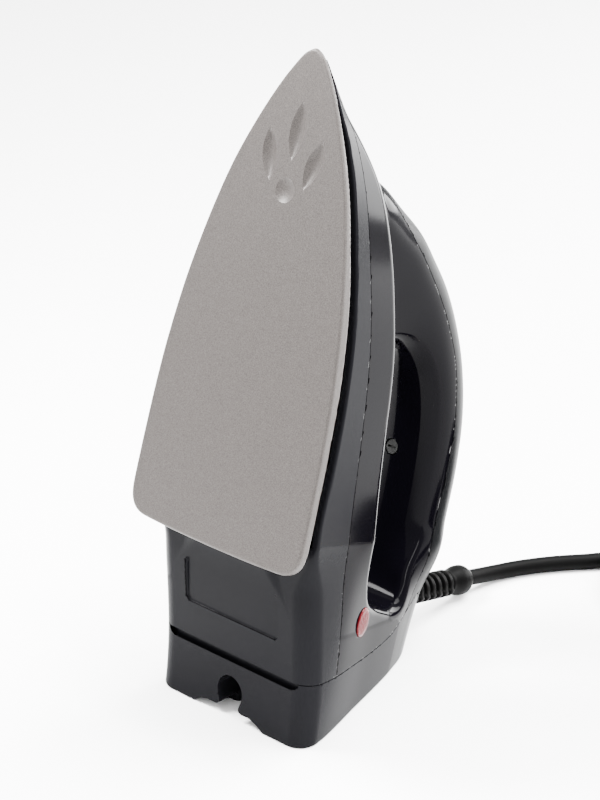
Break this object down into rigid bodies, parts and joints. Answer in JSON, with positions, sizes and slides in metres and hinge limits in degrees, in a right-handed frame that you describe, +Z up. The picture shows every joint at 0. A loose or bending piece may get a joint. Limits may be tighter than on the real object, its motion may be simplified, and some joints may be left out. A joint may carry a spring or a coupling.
{
  "type": "clothes iron",
  "caption": "Dry clothes iron standing on its heel: boat-shaped soleplate, charcoal covers, arched handle over a temperature dial, pilot lamp, ribbed cord guard, mains cord and plug.",
  "frame": {"origin": "on the flat underside of the heel, in the plane of symmetry, about the middle of the heel face; the iron stands on z = 0", "axes": "+Z up, the ironing face towards -Y with its tip leaning back by 17.8 degrees, the handle towards +Y, x = 0 the plane of symmetry"},
  "size_m": [0.1673, 0.2735, 0.2687],
  "materials": {
    "charcoal_plastic": "satin moulded",
    "charcoal_gloss": "semi-gloss moulded",
    "slate_soft": "fine matte texture",
    "sole_coating": "speckled non-stick coating",
    "steel": "plain",
    "shield_steel": "matt black",
    "ceramic": "unglazed",
    "brass": "plain",
    "dial_plastic": "satin moulded",
    "board": "green board",
    "relay_plastic": "moulded",
    "capacitor_plastic": "moulded",
    "red_lens": "translucent red",
    "clear_glass": "clear",
    "terminal_plastic": "white moulded",
    "guard_rubber": "matt black",
    "cord_rubber": "matt black",
    "wire_plastic": "insulated wire",
    "plug_plastic": "satin black",
    "pin_brass": "nickel plated"
  },
  "bodies": {
    "iron": {"skirt": "charcoal_plastic", "upper_housing": "charcoal_gloss", "handle_cover": "slate_soft", "heel_cover": "charcoal_plastic", "soleplate": "sole_coating", "heating_element": "steel", "element_pins": "steel", "heat_shield": "shield_steel", "shield_spacers": "ceramic", "sole_screws": "steel", "thermostat_frame": "steel", "thermostat_lower_ring": "ceramic", "thermostat_upper_ring": "ceramic", "bimetal_strip": "brass", "fixed_contact_spring": "brass", "moving_contact_spring": "brass", "thermal_fuse": "ceramic", "control_board": "board", "auto_off_relay": "relay_plastic", "dropper_capacitor": "capacitor_plastic", "tilt_switch": "relay_plastic", "pilot_lens": "red_lens", "neon_lamp": "clear_glass", "handle_screw": "steel", "terminal_block": "terminal_plastic", "cord_clamp": "relay_plastic", "cord_clamp_screws": "steel", "heel_screws": "steel", "cord_guard": "guard_rubber", "inner_cord": "cord_rubber", "lead_wires": "wire_plastic", "mains_cord": "cord_rubber", "cord_coil": "cord_rubber", "cord_tail": "cord_rubber", "plug_body": "plug_plastic", "plug_pins": "pin_brass"},
    "dial": {"temperature_dial": "dial_plastic", "dial_spindle": "steel"},
    "ball": {"tilt_ball": "steel"}
  },
  "joints": [
    {"name": "dial_turn", "type": "hinge", "parent": "iron", "child": "dial", "pos_m": [0, 0.01526, 0.1137], "axis": [0, 0.9521, -0.3057], "range_deg": [0, 270]},
    {"name": "ball_roll", "type": "slide", "parent": "iron", "child": "ball", "axis": [0, 0.0489, 0.9988], "range_m": [0, 0.007]}
  ]
}
